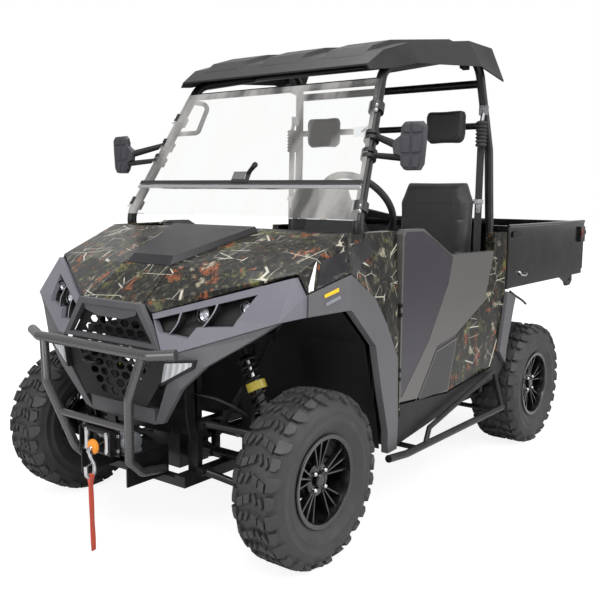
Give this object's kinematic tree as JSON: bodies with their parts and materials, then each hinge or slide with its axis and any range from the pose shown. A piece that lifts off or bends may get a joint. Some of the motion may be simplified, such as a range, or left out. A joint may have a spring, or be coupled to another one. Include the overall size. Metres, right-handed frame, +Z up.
{
  "type": "side by side utv",
  "caption": "Side by side utility vehicle with open cab, roll cage, roof, doors, opening hood, tipping cargo bed, steered knobbly wheels, front guard and winch.",
  "frame": {"origin": "centre of the bounding box's bottom, on the ground under the vehicle", "axes": "+X forward, +Y to the vehicle's left, +Z up"},
  "size_m": [3.2, 1.712, 2.038],
  "materials": {
    "arch_liners": "matte",
    "arch_trims": "satin",
    "brush_guard": "satin metallic",
    "cargo_bed": "gloss",
    "chassis_frame": "satin",
    "dashboard": "grained",
    "door": "satin",
    "drive_shafts": "satin",
    "engine_block": "cast",
    "exhaust": "satin",
    "fairlead": "polished",
    "floor_tub": "grained",
    "front_fascia": "satin",
    "front_fenders": "printed gloss",
    "grille": "satin",
    "headlamps": "lens and housing",
    "hood": "printed gloss",
    "hood_scoop": "satin",
    "knuckle_front": "cast",
    "lower_bumper": "satin",
    "rear_knuckles": "cast",
    "rear_quarters": "printed gloss",
    "rim": "gloss",
    "roll_cage": "satin",
    "roof": "satin",
    "seat_belts": "webbing",
    "seats": "grained vinyl",
    "shock_absorbers": "gloss",
    "shock_towers": "satin",
    "side_mirrors": "satin",
    "side_steps": "satin",
    "sill_panels": "satin",
    "steering_gear": "satin",
    "steering_rack": "satin",
    "steering_wheel": "soft grip",
    "suspension_arms": "gloss",
    "tail_lamps": "lens",
    "tailgate": "gloss",
    "tyre": "moulded",
    "winch": "satin",
    "winch_strap": "webbing",
    "windscreen": "clear",
    "windscreen_rails": "satin"
  },
  "bodies": {
    "chassis": {"arch_liners": "arch_liners", "arch_trims": "arch_trims", "brush_guard": "brush_guard", "chassis_frame": "chassis_frame", "dashboard": "dashboard", "drive_shafts": "drive_shafts", "engine_block": "engine_block", "exhaust": "exhaust", "fairlead": "fairlead", "floor_tub": "floor_tub", "front_fascia": "front_fascia", "front_fenders": "front_fenders", "grille": "grille", "headlamps": "headlamps", "lower_bumper": "lower_bumper", "rear_knuckles": "rear_knuckles", "rear_quarters": "rear_quarters", "roll_cage": "roll_cage", "roof": "roof", "seat_belts": "seat_belts", "seats": "seats", "shock_absorbers": "shock_absorbers", "shock_towers": "shock_towers", "side_mirrors": "side_mirrors", "side_steps": "side_steps", "sill_panels": "sill_panels", "steering_gear": "steering_gear", "suspension_arms": "suspension_arms", "winch": "winch", "winch_strap": "winch_strap", "windscreen": "windscreen", "windscreen_rails": "windscreen_rails"},
    "hood": {"hood": "hood", "hood_scoop": "hood_scoop"},
    "door_left": {"door_left": "door"},
    "door_right": {"door_right": "door"},
    "cargo_bed": {"cargo_bed": "cargo_bed", "tail_lamps": "tail_lamps"},
    "tailgate": {"tailgate": "tailgate"},
    "knuckle_left": {"knuckle_front_left": "knuckle_front"},
    "knuckle_right": {"knuckle_front_right": "knuckle_front"},
    "steering_rack": {"steering_rack": "steering_rack"},
    "steering_wheel": {"steering_wheel": "steering_wheel"},
    "wheel_front_left": {"tyre_front_left": "tyre", "rim_front_left": "rim"},
    "wheel_front_right": {"tyre_front_right": "tyre", "rim_front_right": "rim"},
    "wheel_rear_left": {"tyre_rear_left": "tyre", "rim_rear_left": "rim"},
    "wheel_rear_right": {"tyre_rear_right": "tyre", "rim_rear_right": "rim"}
  },
  "joints": [
    {"name": "hood_lid", "type": "hinge", "parent": "chassis", "child": "hood", "pos_m": [0.892, 0, 1.16], "axis": [0, -1, 0], "range_deg": [0, 50]},
    {"name": "door_left_hinge", "type": "hinge", "parent": "chassis", "child": "door_left", "pos_m": [0.57, 0.69, 0.8], "axis": [0, 0, -1], "range_deg": [0, 65]},
    {"name": "door_right_hinge", "type": "hinge", "parent": "chassis", "child": "door_right", "pos_m": [0.57, -0.69, 0.8], "axis": [0, 0, 1], "range_deg": [0, 65]},
    {"name": "bed_tilt", "type": "hinge", "parent": "chassis", "child": "cargo_bed", "pos_m": [-1.5, 0, 0.812], "axis": [0, -1, 0], "range_deg": [0, 45]},
    {"name": "tailgate_hinge", "type": "hinge", "parent": "cargo_bed", "child": "tailgate", "pos_m": [-1.592, 0, 0.862], "axis": [0, -1, 0], "range_deg": [0, 90]},
    {"name": "steer_left", "type": "hinge", "parent": "chassis", "child": "knuckle_left", "pos_m": [1.11, 0.56, 0.3175], "axis": [0, 0, 1], "range_deg": [-30, 30]},
    {"name": "steer_right", "type": "hinge", "parent": "chassis", "child": "knuckle_right", "pos_m": [1.11, -0.56, 0.3175], "axis": [0, 0, 1], "range_deg": [-30, 30]},
    {"name": "rack_slide", "type": "slide", "parent": "chassis", "child": "steering_rack", "axis": [0, 1, 0], "range_m": [-0.061, 0.061]},
    {"name": "steering_wheel_turn", "type": "hinge", "parent": "chassis", "child": "steering_wheel", "pos_m": [0.41, 0.365, 1.256], "axis": [-0.8, 0, 0.6], "range_deg": [-360, 360]},
    {"name": "spin_front_left", "type": "hinge", "parent": "knuckle_left", "child": "wheel_front_left", "pos_m": [1.11, 0.6385, 0.3175], "axis": [0, 1, 0], "continuous": true},
    {"name": "spin_front_right", "type": "hinge", "parent": "knuckle_right", "child": "wheel_front_right", "pos_m": [1.11, -0.6385, 0.3175], "axis": [0, 1, 0], "continuous": true},
    {"name": "spin_rear_left", "type": "hinge", "parent": "chassis", "child": "wheel_rear_left", "pos_m": [-0.79, 0.613, 0.3175], "axis": [0, 1, 0], "continuous": true},
    {"name": "spin_rear_right", "type": "hinge", "parent": "chassis", "child": "wheel_rear_right", "pos_m": [-0.79, -0.613, 0.3175], "axis": [0, 1, 0], "continuous": true}
  ],
  "couplings": [
    {"joint": "steer_right", "follows": "steer_left", "ratio": 1},
    {"joint": "rack_slide", "follows": "steer_left", "m_per_rad": -0.1146},
    {"joint": "steering_wheel_turn", "follows": "steer_left", "ratio": 11.9}
  ]
}
